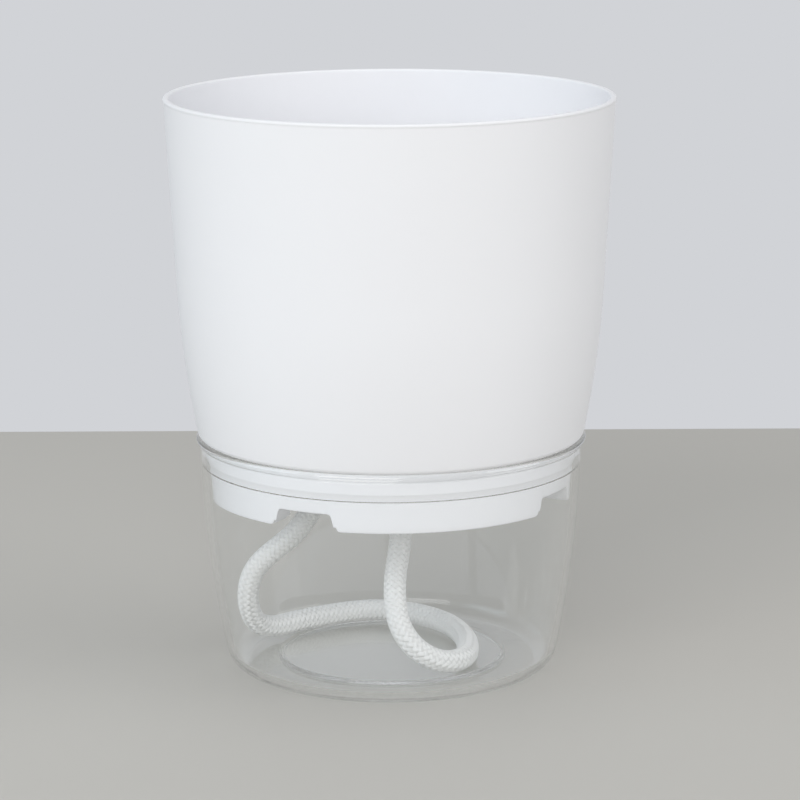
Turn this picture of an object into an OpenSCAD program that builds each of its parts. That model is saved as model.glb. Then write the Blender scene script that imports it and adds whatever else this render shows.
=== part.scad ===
// Self-watering plant pot: a white planting pot with a notched skirt stands in the mouth
// of a clear reservoir, and a braided cotton wick hangs from its floor into the water.
// Millimetres. Origin under the middle of the base, Z up, the photographed side faces -Y.

/* [Overall] */
// Height of the whole object, standing on its reservoir
total_h = 136; // [110:1:170]
// Outside diameter over the bead of the planting pot's rim
rim_d = 105; // [97:0.5:130]

/* [Reservoir] */
// Height of the reservoir up to the seat of the planting pot
res_h = 56; // [46:1:70]
// Outside diameter of the reservoir under its lip
res_d = 89.8; // [85:0.2:98]
// Thickness of the reservoir's side wall
res_wall = 1.7; // [1.4:0.1:2.2]
// Radius of the bow in the side wall, seen from the side
res_bow_r = 250; // [210:5:500]
// Radius of the rounded edge at the bottom
res_corner_r = 5.5; // [4.5:0.5:8]
// Thickness of the reservoir's floor
res_floor_t = 2; // [1.6:0.1:2.6]
// Diameter of the raised disc in the middle of the floor
disc_d = 54; // [44:1:58]
// Rise of the disc over the floor around it, also the depth of the recess underneath
disc_rise = 1; // [0.5:0.1:1.4]
// How far the rounded lip stands out from the wall
lip_out = 1.1; // [0.7:0.1:1.6]
// Radius of the rounded lip
lip_r = 0.6; // [0.5:0.05:0.9]
// Depth of the collar that takes the planting pot's skirt
collar_h = 6.5; // [5:0.5:7.5]
// How far the collar is wider inside than the wall under it
collar_step = 0.3; // [0.2:0.05:0.4]

/* [Planting pot] */
// Thickness of the planting pot's wall
pot_wall = 1.3; // [1.2:0.1:2.2]
// How far the bead stands out at the rim
bead_out = 0.3; // [0.2:0.05:0.8]
// Height of the bead
bead_h = 1; // [0.8:0.1:1.2]
// Height of the bowed lower part of the wall, above the seat
pot_bow_h = 36; // [24:1:42]
// Radius of the bow in the lower part of the wall, seen from the side
pot_bow_r = 250; // [210:5:500]
// Radius of the rounded shoulder over the reservoir's lip
shoulder_r = 1.5; // [1:0.1:1.8]
// Thickness of the floor
pot_floor_t = 2; // [1.6:0.1:2.6]
// Depth of the floor's underside below the seat
floor_drop = 9.7; // [9:0.1:12]

/* [Skirt] */
// Depth of the skirt below the seat
skirt_h = 14; // [13:0.5:18]
// Thickness of the skirt and of the walls of the hollow feet
skirt_wall = 1.8; // [1.5:0.1:2.2]
// Width of the feet, from the outside of the skirt inwards
foot_w = 6; // [5.5:0.5:8]
// Width of a notch along its top edge
notch_top_w = 13; // [8:0.5:18]
// Width of a notch between the feet at the bottom
notch_foot_w = 15.2; // [10:0.1:20]
// Radius of the corners of the notches and feet
notch_r = 1; // [0.5:0.1:1.2]
// Turn of the first notch from the front
notch_turn = -27.7; // [-45:0.1:45]

/* [Wick] */
// Diameter of the braided wick
wick_d = 5; // [4:0.1:6]
// Diameter of the small drain holes
drain_d = 4.5; // [3:0.1:5]

/* [Clearances] */
// Gap between the skirt and the collar, all round
skirt_gap = 0.35; // [0.3:0.05:0.6]
// Gap between the lower skirt and the reservoir's wall, all round
foot_gap = 0.45; // [0.4:0.05:0.8]
// Gap between the wick and the edge of its hole
wick_gap = 1.5; // [1.2:0.1:2]
// Gap left under the wick where it lies on a floor
lie_gap = 0.3; // [0.2:0.05:0.5]

/* [Hidden] */
$fn = 180;

// The planting pot has four notches, four feet and a hole for a wick above each foot
feet = 4;
drains = 8;

// How far a round reaches over the lines that it joins, and a bow past the start of the straight wall
overlap = 0.01;
bow_over = 5;

// Reservoir: the wall is an arc about a point level with the rim
res_r = res_d / 2;
res_bow_at = [res_r - res_bow_r, res_h];
collar_z = res_h - collar_h;
collar_r = res_r - res_wall + collar_step;
disc_r = disc_d / 2;
disc_z = res_floor_t + disc_rise;
recess_r = disc_r - res_floor_t / 2;
function res_inside(z) = res_bow_at.x + sqrt(pow(res_bow_r - res_wall, 2) - pow(res_h - z, 2));

// Planting pot: a straight upper wall runs into an arc that ends over the reservoir's lip
seat_z = res_h;
bead_r = bead_h / 2;
bead_z = total_h - bead_r;
bead_x = rim_d / 2 - bead_r;
rim_r = rim_d / 2 - bead_out;
shoulder_x = res_r + lip_out / 2;
bow_z = seat_z + pot_bow_h;
draft = atan((rim_r - shoulder_x - pow(pot_bow_h, 2) / (2 * pot_bow_r)) / (bead_z - seat_z));
bow_x = rim_r - (bead_z - bow_z) * tan(draft);
pot_bow_at = [bow_x - pot_bow_r * cos(draft), bow_z + pot_bow_r * sin(draft)];
wall_x = pot_wall / cos(draft);
rim_in_x = rim_r - wall_x;

// Skirt, floor and hollow feet; the notches end a little under the floor and their corners stay
// under half their height
notch_under = 0.3;
foot_z = seat_z - skirt_h;
band_r = collar_r - skirt_gap;
lower_z = collar_z + foot_gap;
lower_r = res_inside(collar_z) - foot_gap;
foot_r = res_inside(foot_z) - foot_gap;
floor_z = seat_z - floor_drop;
floor_top = floor_z + pot_floor_t;
well_r = band_r - skirt_wall;
notch_h = floor_z - foot_z - notch_under;
notch_corner_r = min(notch_r, 0.45 * notch_h);
under_r = foot_r - foot_w;
hollow_r = under_r + skirt_wall;
hollow_turn = 180 / feet - asin((notch_foot_w / 2 + notch_corner_r + skirt_wall) / hollow_r);
well_corner_r = 3;
ledge_z = seat_z + pot_wall;
ledge_bevel = 1.2;
edge_bevel = 0.4;

// Holes for the wick, one above each foot, and small drain holes further out
spread = res_r / 44.9;
hole_ring_r = 14 * spread;
hole_d = wick_d + 2 * wick_gap;
drain_ring_r = 28 * spread;
hole_turn = notch_turn + 180 / feet;

// The wick's route, drawn for a 56 mm reservoir: from one end on the pot's floor, down
// through the front hole, round the reservoir, up through the left hole to the other end
wick_route = [
    [34, 10, 50.8], [33.5, 3, 50.8], [30, -3, 50.8], [24, -7.5, 52.5], [17, -10.5, 55],
    [9.5, -12.5, 54], [4, -13.5, 48.5], [2, -13, 41.5], [2.5, -13, 34], [1, -16, 27],
    [0.5, -21, 21.5], [1.5, -25, 15], [6, -26, 9.5], [12, -24, 6.2], [17, -18.5, 5.8],
    [18, -11, 5.8], [18, -3.5, 5.8], [16.5, 4, 5.8], [14, 11, 5.8], [9.5, 17, 5.8],
    [3.5, 22, 5.8], [-4, 24, 5.8], [-11, 22, 5.8], [-17.5, 18, 5.8], [-23.5, 13.5, 6],
    [-29.5, 9, 5.2], [-34, 4, 8.5], [-35, 0.5, 15.5], [-33.5, 0, 22.5], [-28, -1, 27.5],
    [-22, -1.5, 32], [-18.5, -2.5, 38.5], [-14.5, -4, 44.5], [-11, -4.5, 51.5], [-5, -3, 55],
    [1, 0.5, 54.5], [5.5, 6, 52.5], [8, 12.5, 50.8], [8.5, 19.5, 50.8], [7, 26.5, 50.8]
];
drawn_lie = 5.8;
drawn_floor = 46;
drawn_lie_in_pot = 50.8;
wick_sides = 12;
ring_steps = 2;
lie_z = disc_z + wick_d / 2 + lie_gap;
lie_in_pot = floor_top + wick_d / 2 + lie_gap;

// A drawn height of the route, fitted to the floors of the reservoir and the pot
function fit_z(z) =
    z <= drawn_floor
        ? lie_z + (z - drawn_lie) * (floor_z - lie_z) / (drawn_floor - drawn_lie)
        : floor_z + (z - drawn_floor) * (lie_in_pot - floor_z) / (drawn_lie_in_pot - drawn_floor);
function fit_point(p) = [p.x * spread, p.y * spread, fit_z(p.z)];

// A smooth cord that follows a list of route points
function blend(a, b, c, d, t) =
    (a * pow(1 - t, 3) + b * (3 * pow(t, 3) - 6 * pow(t, 2) + 4)
        + c * (-3 * pow(t, 3) + 3 * pow(t, 2) + 3 * t + 1) + d * pow(t, 3)) / 6;
function with_ends(p) = concat([2 * p[0] - p[1]], p, [2 * p[len(p) - 1] - p[len(p) - 2]]);
function smooth(q) = concat(
    [for (i = [1 : len(q) - 3]) for (k = [0 : ring_steps - 1])
        blend(q[i - 1], q[i], q[i + 1], q[i + 2], k / ring_steps)],
    [q[len(q) - 2]]);
function unit(v) = v / norm(v);
function heading(p, i) = unit(p[min(i + 1, len(p) - 1)] - p[max(i - 1, 0)]);
function square_to(v, t) = unit(v - (v * t) * t);
function sides_of(p) =
    [for (i = 0, u = square_to([0, 0, 1], heading(p, 0)); i < len(p);
        i = i + 1, u = i < len(p) ? square_to(u, heading(p, i)) : u) u];

// Half section of a bowed vessel: level base, rounded corner and a wall that is an arc
module bowed_half(bow_at, bow_r, base_z, corner_r, top_z) {
    corner_z = base_z + corner_r;
    corner_x = bow_at.x + sqrt(pow(bow_r - corner_r, 2) - pow(bow_at.y - corner_z, 2));
    corner = [corner_x, corner_z];
    difference() {
        intersection() {
            translate(bow_at)
                circle(bow_r, $fn = 720);
            translate([0, base_z])
                square([bow_r, top_z - base_z]);
        }
        difference() {
            polygon([corner, [corner_x, base_z - 1], [corner_x + 2 * corner_r, base_z - 1],
                corner + 2 * corner_r * unit(corner - bow_at)]);
            translate(corner)
                circle(corner_r + overlap);
        }
    }
}

// Clear reservoir with a rounded lip, a stepped collar and a raised disc in its floor
module reservoir() {
    color([0.86, 0.91, 0.9, 0.35])
        rotate_extrude() {
            difference() {
                union() {
                    bowed_half(res_bow_at, res_bow_r, 0, res_corner_r, res_h);
                    translate([res_r + lip_out - lip_r, res_h - lip_r])
                        circle(lip_r);
                    translate([collar_r, res_h - 2 * lip_r])
                        square([res_r + lip_out - lip_r - collar_r, 2 * lip_r]);
                }
                bowed_half(res_bow_at, res_bow_r - res_wall, res_floor_t, res_corner_r - res_wall,
                    res_h + 1);
                translate([0, collar_z])
                    square([collar_r, collar_h + 1]);
                translate([0, -1])
                    square([recess_r, disc_rise + 1]);
            }
            translate([0, disc_rise])
                square([disc_r, res_floor_t]);
        }
}

// Outline of one notch in the skirt, with rounded top corners and rounded feet
module notch_outline() {
    half_top = notch_top_w / 2;
    half_foot = notch_foot_w / 2;
    lean = atan((half_foot - half_top) / notch_h);
    out = 2 * notch_corner_r * [cos(lean), sin(lean)];
    top_at = [half_top - notch_corner_r * tan((90 - lean) / 2), notch_h - notch_corner_r];
    foot_at = [half_foot + notch_corner_r * tan((90 + lean) / 2), notch_corner_r];
    difference() {
        polygon([[-half_foot, -1], [half_foot, -1], [half_foot, 0], [half_top, notch_h],
            [-half_top, notch_h], [-half_foot, 0]]);
        for (side = [0, 1])
            mirror([side, 0])
                difference() {
                    polygon([top_at, [top_at.x, notch_h + 1], [top_at.x + out.x, notch_h + 1],
                        top_at + out]);
                    translate(top_at)
                        circle(notch_corner_r + overlap);
                }
    }
    for (side = [0, 1])
        mirror([side, 0])
            difference() {
                polygon([foot_at, foot_at - out, [foot_at.x - out.x, -1], [foot_at.x, -1]]);
                translate(foot_at)
                    circle(notch_corner_r + overlap);
            }
}

// Half section of the planting pot, filled in: beaded rim, bowed wall, shoulder and skirt
module pot_outside() {
    bowed_half(pot_bow_at, pot_bow_r, seat_z, shoulder_r, bow_z + bow_over);
    polygon([[0, bow_z], [bow_x - overlap, bow_z], [rim_r, bead_z], [0, bead_z]]);
    translate([bead_x, bead_z])
        circle(bead_r);
    translate([0, bead_z - bead_r])
        square([bead_x, bead_h]);
    polygon([[0, foot_z], [foot_r - edge_bevel, foot_z], [foot_r, foot_z + edge_bevel],
        [lower_r, lower_z], [band_r, lower_z + edge_bevel], [band_r, seat_z + 1], [0, seat_z + 1]]);
}

// Half section of the room for the plant: a rounded well under a ledge, then the wall
module pot_inside() {
    translate([0, floor_top])
        square([well_r - well_corner_r, ledge_z - floor_top]);
    translate([0, floor_top + well_corner_r])
        square([well_r, ledge_z - ledge_bevel / 2 - floor_top - well_corner_r]);
    translate([well_r - well_corner_r, floor_top + well_corner_r])
        circle(well_corner_r);
    polygon([[0, ledge_z - ledge_bevel], [well_r, ledge_z - ledge_bevel], [well_r + ledge_bevel, ledge_z],
        [well_r, ledge_z + 1], [0, ledge_z + 1]]);
    bowed_half(pot_bow_at, pot_bow_r - pot_wall, ledge_z, shoulder_r, bow_z + bow_over);
    polygon([[0, bow_z], [bow_x - wall_x - overlap, bow_z], [rim_in_x, bead_z],
        [rim_in_x, total_h - edge_bevel], [rim_in_x + edge_bevel + 1, total_h + 1], [0, total_h + 1]]);
}

// White planting pot: bowed wall, beaded rim, floor with holes and a skirt on four hollow feet
module pot() {
    color([0.93, 0.94, 0.95])
        difference() {
            rotate_extrude()
                difference() {
                    pot_outside();
                    pot_inside();
                    translate([0, foot_z - 1])
                        square([under_r, floor_z - foot_z + 1]);
                }
            for (i = [0 : feet - 1]) {
                rotate([0, 0, notch_turn + i * 360 / feet])
                    translate([0, foot_w / 2 - foot_r, foot_z])
                        rotate([90, 0, 0])
                            linear_extrude(height = foot_w + 4, center = true)
                                notch_outline();
                rotate([0, 0, hole_turn + i * 360 / feet - 90 - hollow_turn])
                    rotate_extrude(angle = 2 * hollow_turn)
                        translate([hollow_r, foot_z - 1])
                            square([foot_w - 2 * skirt_wall, floor_z - foot_z + 1]);
                rotate([0, 0, hole_turn + i * 360 / feet])
                    translate([0, -hole_ring_r, floor_z - 1])
                        cylinder(h = pot_floor_t + 2, d = hole_d);
            }
            for (i = [0 : drains - 1])
                rotate([0, 0, hole_turn + i * 360 / drains])
                    translate([0, -drain_ring_r, floor_z - 1])
                        cylinder(h = pot_floor_t + 2, d = drain_d);
        }
}

// Braided cotton wick
module wick() {
    path = smooth(with_ends([for (p = wick_route) fit_point(p)]));
    sides = sides_of(path);
    rings = len(path);
    color([0.93, 0.92, 0.88])
        polyhedron(
            points = [for (i = [0 : rings - 1]) let (t = heading(path, i), u = sides[i], v = cross(t, u))
                for (j = [0 : wick_sides - 1]) let (a = 360 * j / wick_sides)
                    path[i] + wick_d / 2 * (cos(a) * u + sin(a) * v)],
            faces = concat(
                [[for (j = [0 : wick_sides - 1]) j]],
                [for (i = [0 : rings - 2]) for (j = [0 : wick_sides - 1])
                    let (k = (j + 1) % wick_sides, a = i * wick_sides, b = a + wick_sides)
                        each [[a + k, a + j, b + j], [a + k, b + j, b + k]]],
                [[for (j = [wick_sides - 1 : -1 : 0]) (rings - 1) * wick_sides + j]]));
}

reservoir();
pot();
wick();
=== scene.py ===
"""Self-watering plant pot: white planting pot, clear reservoir and braided cotton wick, in metres."""

import math

import bmesh
import bpy
import numpy as np
from mathutils import Matrix, Vector


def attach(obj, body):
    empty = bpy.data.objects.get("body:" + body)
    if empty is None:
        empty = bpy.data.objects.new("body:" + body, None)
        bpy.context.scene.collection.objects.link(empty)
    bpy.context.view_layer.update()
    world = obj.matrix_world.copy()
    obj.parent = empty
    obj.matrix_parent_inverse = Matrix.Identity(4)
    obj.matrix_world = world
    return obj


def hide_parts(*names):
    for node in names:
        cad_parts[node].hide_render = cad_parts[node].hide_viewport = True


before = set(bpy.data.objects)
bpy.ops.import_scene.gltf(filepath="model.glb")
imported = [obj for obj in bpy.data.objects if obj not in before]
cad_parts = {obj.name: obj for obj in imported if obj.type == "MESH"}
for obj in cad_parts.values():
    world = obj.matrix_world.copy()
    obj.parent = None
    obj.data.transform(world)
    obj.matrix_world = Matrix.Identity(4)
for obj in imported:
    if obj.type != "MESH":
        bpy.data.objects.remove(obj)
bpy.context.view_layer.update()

MM = 0.001

# Reservoir: a bowed wall on a flat foot, with a raised disc in its floor
RES_H = 56 * MM
RES_R = 44.9 * MM
RES_WALL = 1.7 * MM
RES_BOW = 250 * MM
RES_CORNER = 5.5 * MM
RES_FLOOR = 2 * MM
DISC_R = 27 * MM
DISC_RISE = 1 * MM
RECESS_R = 26 * MM
DISC_ROUND = 0.3 * MM
RES_TURNS = 288

# Its lip, which runs into the wall by a hollow round, and the collar with a sloping ledge inside it
LIP_OUT = 1.1 * MM
LIP_R = 0.9 * MM
LIP_CROWN = 0.22 * MM
LIP_BLEND = 1 * MM
UNDER_BLEND = 0.1 * MM
COLLAR_H = 6.5 * MM
COLLAR_STEP = 0.3 * MM
COLLAR_ROUND = 0.25 * MM
LEDGE_OUTSIDE_UP = 0.2 * MM
LEDGE_OUTSIDE_ROUND = 0.15 * MM
LEDGE_INSIDE_DOWN = 0.1 * MM
LEDGE_INSIDE_ROUND = 0.1 * MM
UNDER_LEDGE = 0.35 * MM

# Planting pot: a straight wall with a beaded rim, bowed in its lower part, and a shoulder over the lip
TOTAL_H = 136 * MM
RIM_D = 105 * MM
POT_WALL = 1.3 * MM
BEAD_OUT = 0.12 * MM
BEAD_H = 1 * MM
BEAD_BLEND = 0.8 * MM
UNDER_RIM = 0.4 * MM
POT_BOW_H = 36 * MM
POT_BOW = 250 * MM
SHOULDER_R = 1.5 * MM

# Its floor, in a well inside the skirt, with holes for the wick and for draining
POT_FLOOR = 2 * MM
FLOOR_DROP = 9.7 * MM
WELL_CORNER = 3 * MM
LEDGE_BEVEL = 1.2 * MM
BEVEL_LOW_ROUND = 0.8 * MM
BEVEL_TOP_ROUND = 0.1 * MM
DRAINS = 8
WICK_HOLE_D = 8 * MM
DRAIN_D = 4.5 * MM
HOLE_RING = 14 * MM
DRAIN_RING = 28 * MM
HOLE_EDGE = 0.25 * MM

# Its skirt: a band in the reservoir's collar, then a narrower part on four hollow feet between notches
SKIRT_H = 14 * MM
SKIRT_WALL = 1.8 * MM
SKIRT_GAP = 0.35 * MM
BAND_TOP_ROUND = 0.2 * MM
BAND_TAPER = 1.2 * MM
BAND_LOW_ROUND = 0.5 * MM
FEET = 4
FOOT_W = 6 * MM
FOOT_GAP = 0.45 * MM
FOOT_EDGE = 0.4 * MM
NOTCH_H = 4 * MM
NOTCH_TOP = 13 * MM
NOTCH_FOOT = 15.2 * MM
NOTCH_R = 1 * MM
NOTCH_TURN = -27.7
NOTCH_ENDS = (7.5, 12.3)

# Distance of the point that keeps a line flat beside a round, and the angle from which an edge is sharp
SUPPORT = 0.06 * MM
SHARP_FROM = 32
WELD = 1e-7

# The wick's route from end to end in millimetres
WICK_ROUTE = [
    (34, 10, 51.1), (33.5, 3, 51.1), (30, -3, 51.1), (24, -7.5, 52.8), (17, -10.5, 55.3),
    (9.5, -12.5, 54.3), (4, -13.5, 48.8), (2, -13, 41.77), (2.5, -13, 34.21), (1, -16, 27.16),
    (0.5, -21, 21.62), (1.5, -25, 15.07), (6, -26, 9.53), (12, -24, 6.2), (17, -18.5, 5.8),
    (18, -11, 5.8), (18, -3.5, 5.8), (16.5, 4, 5.8), (14, 11, 5.8), (9.5, 17, 5.8),
    (3.5, 22, 5.8), (-4, 24, 5.8), (-11, 22, 5.8), (-17.5, 18, 5.8), (-23.5, 13.5, 6),
    (-29.5, 9, 5.2), (-34, 4, 8.52), (-35, 0.5, 15.57), (-33.5, 0, 22.62), (-28, -1, 27.66),
    (-22, -1.5, 32.2), (-18.5, -2.5, 38.74), (-14.5, -4, 44.79), (-11, -4.5, 51.8), (-5, -3, 55.3),
    (1, 0.5, 54.8), (5.5, 6, 52.8), (8, 12.5, 51.1), (8.5, 19.5, 51.1), (7, 26.5, 51.1),
]

# Camera: the photograph's viewpoint, in front and a little above the rim, with its angles in degrees
CAMERA_AT = (0, -0.78, 0.2331)
CAMERA_TILT, CAMERA_TURN, CAMERA_ROLL = 12.258, 0.159, -0.212
CAMERA_LENS, CAMERA_SENSOR = 152.08, 36

# Stage: how far the floor reaches, and the colours of floor, backdrop and light
FLOOR_REACH, FLOOR_BACK = 3, 0.2486
FLOOR_COLOUR = (0.575, 0.562, 0.528)
BACKDROP_COLOUR = (0.638, 0.651, 0.679)
ROOM_LIGHT, ROOM_STRENGTH = (0.97, 0.98, 1.0), 0.395
BOUNCES = 96


# Node trees, for looks and for shapes

def add_node(tree, kind, settings=None, sockets=None):
    """A node of a tree: its settings first, then a value or a link for each socket named."""
    node = tree.nodes.new(kind)
    for name, value in (settings or {}).items():
        setattr(node, name, value)
    for name, value in (sockets or {}).items():
        if isinstance(value, Term):
            value = value.socket
        if isinstance(value, bpy.types.NodeSocket):
            tree.links.new(value, node.inputs[name])
        else:
            node.inputs[name].default_value = value
    return node


class Term:
    """A node socket that sums can be written with."""

    def __init__(self, tree, socket):
        self.tree, self.socket = tree, socket

    def calc(self, operation, *values):
        node = add_node(self.tree, "ShaderNodeMath", {"operation": operation}, dict(enumerate(values)))
        return Term(self.tree, node.outputs[0])

    def __add__(self, other):
        return self.calc("ADD", self, other)

    __radd__ = __add__

    def __sub__(self, other):
        return self.calc("SUBTRACT", self, other)

    def __rsub__(self, other):
        return self.calc("SUBTRACT", other, self)

    def __mul__(self, other):
        return self.calc("MULTIPLY", self, other)

    __rmul__ = __mul__

    def __truediv__(self, other):
        return self.calc("DIVIDE", self, other)

    def sine(self):
        return self.calc("SINE", self)

    def cosine(self):
        return self.calc("COSINE", self)

    def between(self, low, high):
        node = add_node(self.tree, "ShaderNodeMapRange", {"interpolation_type": "SMOOTHSTEP"},
                        {"Value": self, "From Min": low, "From Max": high})
        return Term(self.tree, node.outputs[0])


class Finish:
    """A surface finish: one shader with the nodes that vary it."""

    def __init__(self, name, **constants):
        self.material = bpy.data.materials.new(name)
        self.material.use_nodes = True
        self.tree = self.material.node_tree
        self.tree.nodes.clear()
        constants = {k.replace("_", " "): v for k, v in constants.items()}
        self.shader = self.add("ShaderNodeBsdfPrincipled", {}, constants)
        self.output = self.add("ShaderNodeOutputMaterial", {}, {"Surface": self.shader.outputs[0]})
        self.place = self.add("ShaderNodeTexCoord").outputs["Object"]

    def add(self, kind, settings=None, sockets=None):
        return add_node(self.tree, kind, settings, sockets)

    def noise(self, scale, detail=2.0, rough=0.5, at=None):
        node = self.add("ShaderNodeTexNoise", {}, {"Vector": at or self.place, "Scale": scale,
                                                   "Detail": detail, "Roughness": rough})
        return Term(self.tree, node.outputs["Fac"])

    def stretched(self, scale):
        return self.add("ShaderNodeMapping", {}, {"Vector": self.place, "Scale": scale}).outputs[0]

    def blend(self, mask, first, second):
        node = self.add("ShaderNodeMix", {"data_type": "RGBA"}, {"Factor": mask, 6: first, 7: second})
        return node.outputs[2]

    def bump(self, height, strength, distance):
        node = self.add("ShaderNodeBump", {}, {"Height": height, "Strength": strength, "Distance": distance})
        return node.outputs[0]

    def lets_light_in(self, tint):
        """Has lamps and the light off other surfaces pass straight through, so that what is inside is lit."""
        rays = self.add("ShaderNodeLightPath").outputs
        through = self.add("ShaderNodeBsdfTransparent", {}, {"Color": tint}).outputs[0]
        surface = self.shader.outputs[0]
        for kind in ("Is Shadow Ray", "Is Diffuse Ray"):
            surface = self.add("ShaderNodeMixShader", {}, {0: rays[kind], 1: surface, 2: through}).outputs[0]
        self.tree.links.new(surface, self.output.inputs["Surface"])

    def feed(self, **links):
        for name, value in links.items():
            socket = value.socket if isinstance(value, Term) else value
            self.tree.links.new(socket, self.shader.inputs[name.replace("_", " ")])
        return self.material


def piece(name, mesh):
    mesh.name = name
    obj = bpy.data.objects.new(name, mesh)
    bpy.context.scene.collection.objects.link(obj)
    return obj


def add_camera():
    tilt, turn, roll = (math.radians(a) for a in (CAMERA_TILT, CAMERA_TURN, CAMERA_ROLL))
    ahead = Vector((math.sin(turn) * math.cos(tilt), math.cos(turn) * math.cos(tilt), -math.sin(tilt)))
    right = Vector((math.cos(turn), -math.sin(turn), 0))
    up = Vector((math.sin(turn) * math.sin(tilt), math.cos(turn) * math.sin(tilt), math.cos(tilt)))
    across = math.cos(roll) * right + math.sin(roll) * up
    upright = math.cos(roll) * up - math.sin(roll) * right
    camera = bpy.data.objects.new("camera", bpy.data.cameras.new("camera"))
    bpy.context.scene.collection.objects.link(camera)
    camera.data.sensor_fit = "HORIZONTAL"
    camera.data.sensor_width = CAMERA_SENSOR
    camera.data.lens = CAMERA_LENS
    camera.data.clip_start = 0.01
    facing = Matrix((across, upright, -ahead)).transposed().to_4x4()
    camera.matrix_world = Matrix.Translation(CAMERA_AT) @ facing
    bpy.context.scene.camera = camera


# Wick

def smooth_line(route, steps):
    """Points of the smooth curve that the route's points draw, with its ends on the first and last."""
    p = np.array(route, float)
    p = np.vstack([2 * p[0] - p[1], p, 2 * p[-1] - p[-2]])
    t = np.arange(steps)[:, None] / steps
    shares = ((1 - t) ** 3, 3 * t ** 3 - 6 * t ** 2 + 4, -3 * t ** 3 + 3 * t ** 2 + 3 * t + 1, t ** 3)
    spans = [sum(share * point for share, point in zip(shares, four)) / 6
             for four in zip(p, p[1:], p[2:], p[3:])]
    return np.vstack(spans + [p[-2:-1]])


def cotton():
    finish = Finish("braided_cotton", Roughness=0.92, Sheen_Weight=0.25, Sheen_Roughness=0.6)
    along, across, lift = (
        Term(finish.tree, finish.add("ShaderNodeAttribute", {"attribute_name": name}).outputs["Fac"])
        for name in ("along", "across", "lift"))
    grain = finish.add("ShaderNodeCombineXYZ", {}, {"X": along * 900, "Y": across * 9, "Z": 0.0}).outputs[0]
    fibre = finish.noise(scale=1.0, detail=3.0, rough=0.6, at=grain)
    fluff = finish.noise(scale=2600)
    # Strands are painted darker where they go under the others: painted shade in the weave's crevices, mixed
    # with the fibres' own tone.
    shade = finish.blend(lift * 0.75 + fibre * 0.25, (0.85, 0.855, 0.84, 1), (0.925, 0.93, 0.93, 1))
    fuzz = finish.bump(fibre * 0.7 + fluff * 0.3, strength=0.6, distance=0.00025)
    return finish.feed(Base_Color=shade, Normal=fuzz)


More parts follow.
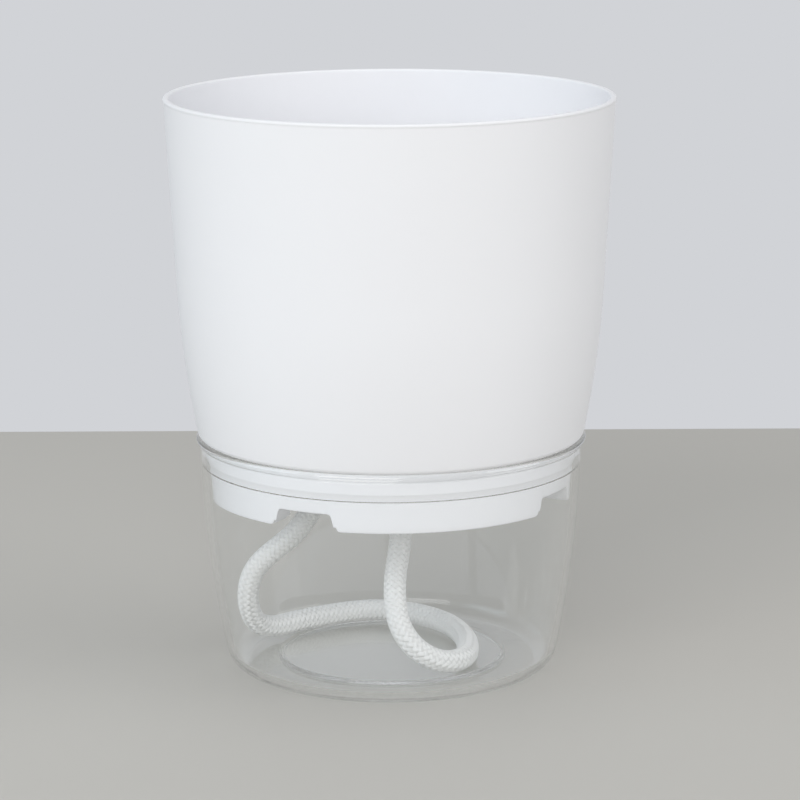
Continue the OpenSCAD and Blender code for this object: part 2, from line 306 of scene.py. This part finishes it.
def braid_tree(material):
    """Shape of a braided cord: strands wound both ways round a core, each over and under the others."""
    tree = bpy.data.node_groups.new("braided_cord", "GeometryNodeTree")
    inputs = [("Line", "Geometry"), ("Strands each way", "Int")]
    inputs += [(name, "Float") for name in ("Lay length", "Middle radius", "Weave depth", "Strand width",
                                            "Strand thickness", "Core radius", "Step")]
    for name, kind in inputs:
        tree.interface.new_socket(name, in_out="INPUT", socket_type="NodeSocket" + kind)
    tree.interface.new_socket("Cord", in_out="OUTPUT", socket_type="NodeSocketGeometry")
    given = add_node(tree, "NodeGroupInput").outputs
    count, lay_length, middle_radius, weave_depth = (
        Term(tree, given[name]) for name in ("Strands each way", "Lay length", "Middle radius", "Weave depth"))

    def vector(operation, a, b=None, scale=None):
        sockets = {0: a} if b is None else {0: a, 1: b}
        if scale is not None:
            sockets["Scale"] = scale
        return add_node(tree, "ShaderNodeVectorMath", {"operation": operation}, sockets).outputs[0]

    def keep(geometry, name, kind, value):
        return add_node(tree, "GeometryNodeStoreNamedAttribute", {"data_type": kind, "domain": "POINT"},
                        {"Geometry": geometry, "Name": name, "Value": value}).outputs[0]

    def kept(name, kind):
        return add_node(tree, "GeometryNodeInputNamedAttribute", {"data_type": kind}, {"Name": name}).outputs[0]

    def circle(sides, radius):
        return add_node(tree, "GeometryNodeCurvePrimitiveCircle", {"mode": "RADIUS"},
                        {"Resolution": sides, "Radius": radius}).outputs[0]

    def swept(curve, profile):
        return add_node(tree, "GeometryNodeCurveToMesh", {},
                        {"Curve": curve, "Profile Curve": profile, "Fill Caps": True}).outputs[0]

    line = add_node(tree, "GeometryNodeMeshToCurve", {}, {"Mesh": given["Line"]}).outputs[0]
    fine = add_node(tree, "GeometryNodeResampleCurve", {"mode": "LENGTH"},
                    {"Curve": line, "Length": given["Step"]}).outputs[0]
    run = add_node(tree, "GeometryNodeSplineParameter").outputs["Length"]
    heading = add_node(tree, "GeometryNodeInputTangent").outputs[0]
    side = add_node(tree, "GeometryNodeInputNormal").outputs[0]
    fine = keep(fine, "along", "FLOAT", run)
    fine = keep(fine, "side", "FLOAT_VECTOR", side)
    fine = keep(fine, "other_side", "FLOAT_VECTOR", vector("CROSS_PRODUCT", heading, side))

    copies = add_node(tree, "GeometryNodeDuplicateElements", {"domain": "SPLINE"},
                      {"Geometry": fine, "Amount": count * 2})
    number = Term(tree, copies.outputs["Duplicate Index"])
    hand = 1 - 2 * number.calc("MODULO", number, 2)
    place = (number / 2).calc("FLOOR", number / 2)
    wind = Term(tree, kept("along", "FLOAT")) / lay_length * math.tau
    angle = hand * wind + place / count * math.tau
    swing = hand * (wind * count).cosine()
    outward = vector("ADD", vector("SCALE", kept("side", "FLOAT_VECTOR"), scale=angle.cosine()),
                     vector("SCALE", kept("other_side", "FLOAT_VECTOR"), scale=angle.sine()))
    offset = vector("SCALE", outward, scale=middle_radius + swing * weave_depth)
    # How high each strand rides over the others, kept for the cotton's painted shade where strands go under.
    strands = keep(copies.outputs[0], "lift", "FLOAT", 0.5 + 0.5 * swing)
    strands = keep(strands, "outward", "FLOAT_VECTOR", outward)
    strands = add_node(tree, "GeometryNodeSetPosition", {}, {"Geometry": strands, "Offset": offset}).outputs[0]
    strands = add_node(tree, "GeometryNodeSetCurveNormal", {"mode": "FREE"},
                       {"Curve": strands, "Normal": kept("outward", "FLOAT_VECTOR")}).outputs[0]

    across = add_node(tree, "GeometryNodeSplineParameter").outputs["Factor"]
    ring = keep(circle(6, 0.5), "across", "FLOAT", across)
    flat = add_node(tree, "ShaderNodeCombineXYZ", {},
                    {"X": given["Strand thickness"], "Y": given["Strand width"], "Z": 1.0}).outputs[0]
    ring = add_node(tree, "GeometryNodeTransform", {}, {"Geometry": ring, "Scale": flat}).outputs[0]
    joined = add_node(tree, "GeometryNodeJoinGeometry")
    for part in (swept(line, circle(16, given["Core radius"])), swept(strands, ring)):
        tree.links.new(part, joined.inputs[0])
    real = add_node(tree, "GeometryNodeRealizeInstances", {}, {"Geometry": joined.outputs[0]}).outputs[0]
    soft = add_node(tree, "GeometryNodeSetShadeSmooth", {}, {"Geometry": real}).outputs[0]
    done = add_node(tree, "GeometryNodeSetMaterial", {}, {"Geometry": soft, "Material": material}).outputs[0]
    add_node(tree, "NodeGroupOutput", {}, {"Cord": done})
    return tree


def grown_mesh(name, line, tree, **sizes):
    """Plain mesh that a shape tree makes along a line of points."""
    mesh = bpy.data.meshes.new(name + "_line")
    mesh.from_pydata([tuple(p) for p in line], [(i, i + 1) for i in range(len(line) - 1)], [])
    seed = bpy.data.objects.new(name + "_line", mesh)
    bpy.context.scene.collection.objects.link(seed)
    modifier = seed.modifiers.new("shape", "NODES")
    modifier.node_group = tree
    for socket in tree.interface.items_tree:
        label = socket.name.replace(" ", "_").lower()
        if socket.in_out == "INPUT" and label in sizes:
            modifier[socket.identifier] = sizes[label]
    made = bpy.data.meshes.new_from_object(seed.evaluated_get(bpy.context.evaluated_depsgraph_get()))
    bpy.data.objects.remove(seed)
    return piece(name, made)


def make_wick():
    line = smooth_line(WICK_ROUTE, 8) * MM
    wick = grown_mesh("braided_wick", line, braid_tree(cotton()), strands_each_way=8, lay_length=11.5 * MM,
                      middle_radius=2.34 * MM, weave_depth=0.07 * MM, strand_width=1.38 * MM,
                      strand_thickness=0.48 * MM, core_radius=2.46 * MM, step=0.3 * MM)
    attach(wick, "pot")
    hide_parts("wick")


# Moulded pieces: outlines of radius and height, turned round the axis

def arc(centre, radius, start, stop, steps):
    angles = np.radians(np.linspace(start, stop, steps + 1))
    return [(centre[0] + radius * math.cos(a), centre[1] + radius * math.sin(a)) for a in angles]


def bowed_wall(centre, bow, base, corner, top, steps, corner_steps=24):
    """Outline from a level base round a corner and up a wall that is an arc."""
    z = base + corner
    x = centre[0] + math.sqrt((bow - corner) ** 2 - (centre[1] - z) ** 2)
    meet = math.degrees(math.atan2(z - centre[1], x - centre[0]))
    end = math.degrees(math.asin((top - centre[1]) / bow))
    bottom = [(x - SUPPORT, base)] + arc((x, z), corner, -90, meet, corner_steps)
    return bottom + arc(centre, bow, meet, end, steps)[1:]


def rounded(outline, steps=5):
    """The outline with each corner that has a third number, its radius, made round.

    A point beside each end of the round keeps the straight line next to it flat in smooth shading.
    """
    out = []
    for i, point in enumerate(outline):
        if len(point) == 2:
            out.append(point)
            continue
        radius = point[2]
        before, here, after = (np.array(outline[k][:2]) for k in (i - 1, i, i + 1))
        u, v = ((p - here) / np.linalg.norm(p - here) for p in (before, after))
        half = math.acos(max(-1, min(1, float(u @ v)))) / 2
        middle = here + (u + v) / np.linalg.norm(u + v) * radius / math.sin(half)
        cut = radius / math.tan(half)
        beside = cut + min(SUPPORT, 0.2 * radius)
        first, last = (here + w * cut - middle for w in (u, v))
        a, b = math.atan2(first[1], first[0]), math.atan2(last[1], last[0])
        sweep = (b - a + math.pi) % math.tau - math.pi
        angles = [a + sweep * k / steps for k in range(steps + 1)]
        out.append(tuple(here + u * beside))
        out += [(middle[0] + radius * math.cos(t), middle[1] + radius * math.sin(t)) for t in angles]
        out.append(tuple(here + v * beside))
    return out


def turned(bm, rings, closed=True):
    """Faces between neighbouring rings of points, each going once round the axis unless it is left open."""
    rows = [[bm.verts.new(p) for p in ring] for ring in rings]
    for low, high in zip(rows, rows[1:]):
        for i in range(len(low) if closed else len(low) - 1):
            k = (i + 1) % len(low)
            bm.faces.new((low[i], low[k], high[k], high[i]))
    return rows


def around(radius, height, turns):
    return [(radius * math.sin(t), -radius * math.cos(t), height) for t in turns]


def moulded(bm, name, material):
    """Closes a moulding's mesh, points it outwards and gives it its finish."""
    bmesh.ops.remove_doubles(bm, verts=bm.verts, dist=WELD)
    bmesh.ops.recalc_face_normals(bm, faces=bm.faces)
    mesh = bpy.data.meshes.new(name)
    bm.to_mesh(mesh)
    bm.free()
    mesh.shade_smooth()
    mesh.set_sharp_from_angle(angle=math.radians(SHARP_FROM))
    mesh.materials.append(material)
    return piece(name, mesh)


def clear_plastic():
    finish = Finish("clear_plastic", Transmission_Weight=1.0, IOR=1.5)
    haze = finish.noise(scale=55, detail=4.0, rough=0.6)
    scuff = finish.noise(scale=1.0, detail=3.0, rough=0.55, at=finish.stretched((900, 900, 60)))
    tint = finish.blend(haze, (0.984, 0.993, 0.994, 1), (0.994, 0.999, 1.0, 1))
    rough = 0.012 + haze.between(0.5, 0.8) * 0.02 + scuff.between(0.62, 0.85) * 0.03
    ripple = finish.bump(finish.noise(scale=120, detail=1.0), strength=0.02, distance=0.0004)
    finish.lets_light_in((0.992, 0.996, 0.998, 1))
    return finish.feed(Base_Color=tint, Roughness=rough, Normal=ripple)


def make_reservoir():
    centre = (RES_R - RES_BOW, RES_H)
    collar_z, collar_r = RES_H - COLLAR_H, RES_R - RES_WALL + COLLAR_STEP
    lip = (RES_R + LIP_OUT - LIP_R, RES_H + LIP_CROWN - LIP_R)
    blend_x = RES_R + LIP_BLEND
    blend = (blend_x, lip[1] - math.sqrt((LIP_R + LIP_BLEND) ** 2 - (blend_x - lip[0]) ** 2))
    under_lip = math.degrees(math.atan2(blend[1] - lip[1], blend[0] - lip[0]))
    over_lip = 180 - math.degrees(math.asin((LIP_R - LIP_CROWN) / LIP_R))
    recess = [(0, DISC_RISE), (RECESS_R, DISC_RISE, DISC_ROUND), (RECESS_R, 0, DISC_ROUND)]
    outside = bowed_wall(centre, RES_BOW, 0, RES_CORNER, blend[1] - UNDER_BLEND, 40)
    lip_side = arc(blend, LIP_BLEND, 180, 180 + under_lip, 16) + arc(lip, LIP_R, under_lip, over_lip, 32)[1:]
    inside = bowed_wall(centre, RES_BOW - RES_WALL, RES_FLOOR, RES_CORNER - RES_WALL,
                        collar_z - UNDER_LEDGE, 40)[::-1]
    collar = [(collar_r, RES_H, COLLAR_ROUND),
              (collar_r, collar_z + LEDGE_OUTSIDE_UP, LEDGE_OUTSIDE_ROUND),
              (inside[0][0], collar_z - LEDGE_INSIDE_DOWN, LEDGE_INSIDE_ROUND)]
    disc_z = RES_FLOOR + DISC_RISE
    disc = [(DISC_R, RES_FLOOR, DISC_ROUND), (DISC_R, disc_z, DISC_ROUND), (0, disc_z)]
    turns = np.linspace(0, math.tau, RES_TURNS, endpoint=False)
    bm = bmesh.new()
    turned(bm, [around(r, z, turns) for r, z in rounded(recess + outside + lip_side + collar + inside + disc)])
    reservoir = moulded(bm, "clear_reservoir", clear_plastic())
    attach(reservoir, "reservoir")
    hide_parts("reservoir")


def white_plastic():
    finish = Finish("white_satin_plastic", IOR=1.49, Specular_IOR_Level=0.25)
    cloud = finish.noise(scale=35, detail=3.0)
    peel = finish.noise(scale=900)
    flow = finish.noise(scale=1.0, at=finish.stretched((120, 120, 14)))
    shade = finish.blend(cloud, (0.915, 0.92, 0.945, 1), (0.93, 0.935, 0.96, 1))
    grain = finish.bump(peel * 0.7 + flow * 0.3, strength=0.12, distance=0.0002)
    return finish.feed(Base_Color=shade, Roughness=0.46 + cloud * 0.08 + flow * 0.05, Normal=grain)


def notch_height(x):
    """Height of a notch's edge over the feet, at a distance x from the notch's middle."""
    top, foot, x = NOTCH_TOP / 2, NOTCH_FOOT / 2, abs(x)
    lean = math.atan((foot - top) / NOTCH_H)
    top_cut = NOTCH_R * math.tan((math.pi / 2 - lean) / 2)
    foot_cut = NOTCH_R * math.tan((math.pi / 2 + lean) / 2)
    if x <= top - top_cut:
        return NOTCH_H
    if x <= top + top_cut * math.sin(lean):
        return NOTCH_H - NOTCH_R + math.sqrt(NOTCH_R ** 2 - (x - top + top_cut) ** 2)
    if x <= foot - foot_cut * math.sin(lean):
        return (foot - x) / math.tan(lean)
    if x < foot + foot_cut:
        return NOTCH_R - math.sqrt(max(0, NOTCH_R ** 2 - (foot + foot_cut - x) ** 2))
    return 0.0


def holed_floor(bm, rim, holes):
    """A level floor inside a rim of points, open at each hole's ring of points."""
    edges = []
    for loop in [rim] + holes:
        verts = [bm.verts.new(p) for p in loop]
        edges += [bm.edges.new((a, b)) for a, b in zip(verts, verts[1:] + verts[:1])]
    bmesh.ops.triangle_fill(bm, use_beauty=True, use_dissolve=False, edges=edges)


def hole_rings(number, ring_r, diameter, height, steps):
    """Rings of points of holes that stand evenly in a circle, the first of them above a foot."""
    out = []
    for k in range(number):
        turn = math.radians(NOTCH_TURN + 180 / FEET) + k * math.tau / number
        x, y = ring_r * math.sin(turn), -ring_r * math.cos(turn)
        edge = around(diameter / 2, 0, np.linspace(0, math.tau, steps, endpoint=False))
        out.append([(x + px, y + py, height) for px, py, _ in edge])
    return out


def floor_holes(wider, height):
    return (hole_rings(FEET, HOLE_RING, WICK_HOLE_D + wider, height, 40)
            + hole_rings(DRAINS, DRAIN_RING, DRAIN_D + wider, height, 28))


def inside_reservoir(z):
    return RES_R - RES_BOW + math.sqrt((RES_BOW - RES_WALL) ** 2 - (RES_H - z) ** 2)


def make_pot():
    seat, bead = RES_H, BEAD_H / 2
    bead_at = (RIM_D / 2 - bead, TOTAL_H - bead)
    rim_r, shoulder, bow_z = RIM_D / 2 - BEAD_OUT, RES_R + LIP_OUT / 2, seat + POT_BOW_H
    slope = (rim_r - shoulder - POT_BOW_H ** 2 / (2 * POT_BOW)) / (bead_at[1] - seat)
    draft = math.atan(slope)
    draft_degrees = math.degrees(draft)
    bow_x = rim_r - (bead_at[1] - bow_z) * slope
    centre = (bow_x - POT_BOW * math.cos(draft), bow_z + POT_BOW * math.sin(draft))
    rim_in = rim_r - POT_WALL / math.cos(draft)

    foot_z, floor_z = seat - SKIRT_H, seat - FLOOR_DROP
    floor_top, ledge_z = floor_z + POT_FLOOR, seat + POT_WALL
    collar_z = RES_H - COLLAR_H
    band_r = RES_R - RES_WALL + COLLAR_STEP - SKIRT_GAP
    lower_z, lower_r = collar_z + FOOT_GAP, inside_reservoir(collar_z) - FOOT_GAP
    foot_r = inside_reservoir(foot_z) - FOOT_GAP
    well_r, under_r = band_r - SKIRT_WALL, foot_r - FOOT_W
    hollow_out, hollow_in = foot_r - SKIRT_WALL, under_r + SKIRT_WALL
    flat_r = well_r - WELL_CORNER

    # Up the inside from the floor, over the bead, and down the outside to the narrower part of the skirt
    well = arc((flat_r, floor_top + WELL_CORNER), WELL_CORNER, -90, 0, 8)
    bevel = [(well_r, ledge_z - LEDGE_BEVEL, BEVEL_LOW_ROUND), (well_r + LEDGE_BEVEL, ledge_z, BEVEL_TOP_ROUND)]
    wall_in = bowed_wall(centre, POT_BOW - POT_WALL, ledge_z, SHOULDER_R, bow_z, 16, 12)
    rim_side = [(rim_in - UNDER_RIM * slope, bead_at[1] - UNDER_RIM)]
    rim_side += arc((rim_in + bead / math.cos(draft), bead_at[1]), bead, 180 - draft_degrees, 90, 8)
    wall_way = np.array((-math.sin(draft), -math.cos(draft)))
    wall_side = np.array((math.cos(draft), -math.sin(draft)))
    inset = bead - BEAD_OUT * math.cos(draft)
    down = math.sqrt((bead + BEAD_BLEND) ** 2 - (BEAD_BLEND + inset) ** 2)
    blend = np.array(bead_at) + (inset + BEAD_BLEND) * wall_side + down * wall_way
    meet = math.degrees(math.atan2(blend[1] - bead_at[1], blend[0] - bead_at[0]))
    bead_side = arc(bead_at, bead, 90, meet, 16)
    bead_side += arc(blend, BEAD_BLEND, 180 + meet, 180 - draft_degrees, 12)[1:]
    wall_out = bowed_wall(centre, POT_BOW, seat, SHOULDER_R, bow_z, 16, 12)[::-1]
    band = [(band_r, seat, BAND_TOP_ROUND), (band_r, lower_z + BAND_TAPER, BAND_LOW_ROUND), (lower_r, lower_z)]
    outline = rounded(well + bevel + wall_in + rim_side + bead_side + wall_out + band)

    # On down to the feet, round their edges and up inside to the floor
    edge_z = foot_z + FOOT_EDGE
    skirt = [(lower_r - (lower_r - foot_r) * k / 6, lower_z - (lower_z - edge_z) * k / 6) for k in range(1, 6)]
    edge_out = arc((foot_r - FOOT_EDGE, edge_z), FOOT_EDGE, 0, -90, 4)
    edge_in = arc((under_r + FOOT_EDGE, edge_z), FOOT_EDGE, 270, 180, 4)
    inner = [(under_r, edge_z + (floor_z - edge_z) * k / 3) for k in (1, 2, 3)]

    # Turns from a notch's middle: close together where the notch ends, and one where the foot's hollow starts
    hollow_start = math.asin((NOTCH_FOOT / 2 + NOTCH_R + SKIRT_WALL) / hollow_in)
    ends = np.radians(np.linspace(*NOTCH_ENDS, 40))
    between = np.linspace(ends[-1], hollow_start, 6)[1:]
    plain = np.radians(np.linspace(-180 / FEET, 180 / FEET, 64, endpoint=False))
    apart = 0.004
    plain = plain[(np.abs(plain) < ends[0] - apart) | (np.abs(plain) > hollow_start + apart)]
    quarter = np.sort(np.concatenate([plain, ends, -ends, between, -between]))
    middles = [math.radians(NOTCH_TURN) + k * math.tau / FEET for k in range(FEET)]
    turns = [(middle, float(t)) for middle in middles for t in quarter]

    def ring(r, z, top=None):
        """One ring of the pot; below a given top, it follows the straight-sided notches between the feet."""
        out = []
        for middle, turn in turns:
            height = z
            if top is not None:
                x = foot_r * math.sin(turn)
                cut = notch_height(x)
                height = foot_z + cut + (z - foot_z) * (top - foot_z - cut) / (top - foot_z)
                straight = min(1.0, max(0.0, (between[-2] - abs(turn)) / (between[-2] - ends[-1])))
                if straight:
                    turn += straight * (math.asin(x / r) - turn)
            out.append((r * math.sin(middle + turn), -r * math.cos(middle + turn), height))
        return out

    bm = bmesh.new()
    turned(bm, [ring(r, z) for r, z in outline] + [ring(r, z, lower_z) for r, z in skirt + edge_out]
           + [ring(hollow_out, foot_z, floor_z)])
    turned(bm, [ring(hollow_in, foot_z, floor_z)] + [ring(r, z, floor_z) for r, z in edge_in + inner])

    # Under each foot a hollow, and a solid part below each notch's ends
    across = [(hollow_out, foot_z), (hollow_out, floor_z), (hollow_in, floor_z), (hollow_in, foot_z)]
    columns = list(zip(*(ring(r, z, floor_z if z == foot_z else None) for r, z in across)))
    count = len(quarter)
    first = int(np.argmax(quarter > -hollow_start - 1e-9))
    for k in range(FEET):
        notch = [columns[k * count + i] for i in range(first, count - first)]
        foot = [columns[(k * count + i) % len(columns)] for i in range(count - first - 1, count + first + 1)]
        turned(bm, [[c[0] for c in notch], [c[3] for c in notch]], closed=False)
        rows = turned(bm, [[c[i] for c in foot] for i in range(4)], closed=False)
        for end in (0, -1):
            bm.faces.new([row[end] for row in rows])

    # Floor, with the upper edges of its holes broken
    wide, upper = floor_holes(2 * HOLE_EDGE, floor_top), floor_holes(0, floor_top - HOLE_EDGE)
    lower = floor_holes(0, floor_z)
    holed_floor(bm, ring(flat_r, floor_top), wide)
    holed_floor(bm, ring(under_r, floor_z, floor_z), lower)
    for loops in zip(wide, upper, lower):
        turned(bm, loops)
    pot = moulded(bm, "white_pot", white_plastic())
    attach(pot, "pot")
    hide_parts("pot")


# Floor, backdrop and light

def add_floor():
    finish = Finish("pale_floor", Base_Color=(*FLOOR_COLOUR, 1), Roughness=0.9, Specular_IOR_Level=0.2)
    mesh = bpy.data.meshes.new("floor")
    corners = [(-FLOOR_REACH, -FLOOR_REACH, 0), (FLOOR_REACH, -FLOOR_REACH, 0),
               (FLOOR_REACH, FLOOR_BACK, 0), (-FLOOR_REACH, FLOOR_BACK, 0)]
    mesh.from_pydata(corners, [], [(0, 1, 2, 3)])
    mesh.materials.append(finish.material)
    piece("floor", mesh)


def soft_box(name, place, size, power, colour=(1, 1, 1), aim=(0, 0, 0.07)):
    lamp = bpy.data.lights.new(name, "AREA")
    lamp.shape = "RECTANGLE"
    lamp.size, lamp.size_y = size
    lamp.energy = power
    lamp.color = colour
    obj = bpy.data.objects.new(name, lamp)
    bpy.context.scene.collection.objects.link(obj)
    obj.location = place
    obj.rotation_euler = (Vector(aim) - Vector(place)).to_track_quat("-Z", "Y").to_euler()


def add_world():
    """Even light from all round, while what is seen past the floor has the backdrop's colour."""
    world = bpy.data.worlds.new("studio")
    world.use_nodes = True
    tree = world.node_tree
    tree.nodes.clear()
    rays = add_node(tree, "ShaderNodeLightPath").outputs
    seen = Term(tree, rays["Is Camera Ray"]) + rays["Is Glossy Ray"] + rays["Is Transmission Ray"]
    lit, shown = (
        add_node(tree, "ShaderNodeBackground", {}, {"Color": (*colour, 1), "Strength": strength}).outputs[0]
        for colour, strength in ((ROOM_LIGHT, ROOM_STRENGTH), (BACKDROP_COLOUR, 1.0)))
    both = add_node(tree, "ShaderNodeMixShader", {}, {0: seen, 1: lit, 2: shown}).outputs[0]
    add_node(tree, "ShaderNodeOutputWorld", {}, {"Surface": both})
    bpy.context.scene.world = world


def add_stage():
    add_floor()
    add_world()
    soft_box("front", (-0.5, -1.35, 0.75), (1.4, 1.0), 12.8)
    soft_box("left", (-1.3, -0.3, 0.6), (1.0, 1.0), 2.8, colour=(0.7, 0.88, 1))
    soft_box("right", (1.3, -0.3, 0.6), (1.0, 1.0), 5.7)
    soft_box("top", (0, -0.35, 1.5), (1.0, 1.0), 2.0, aim=(0, 0, 0.1))
    soft_box("back", (0, 1.1, 1.5), (1.0, 1.0), 2)

    # Light finds its way through many turns inside the clear plastic
    paths = bpy.context.scene.cycles
    paths.max_bounces = paths.glossy_bounces = BOUNCES
    paths.transmission_bounces = paths.transparent_max_bounces = BOUNCES


add_camera()
make_wick()
make_reservoir()
make_pot()
add_stage()
bpy.context.scene.view_settings.view_transform = "Standard"
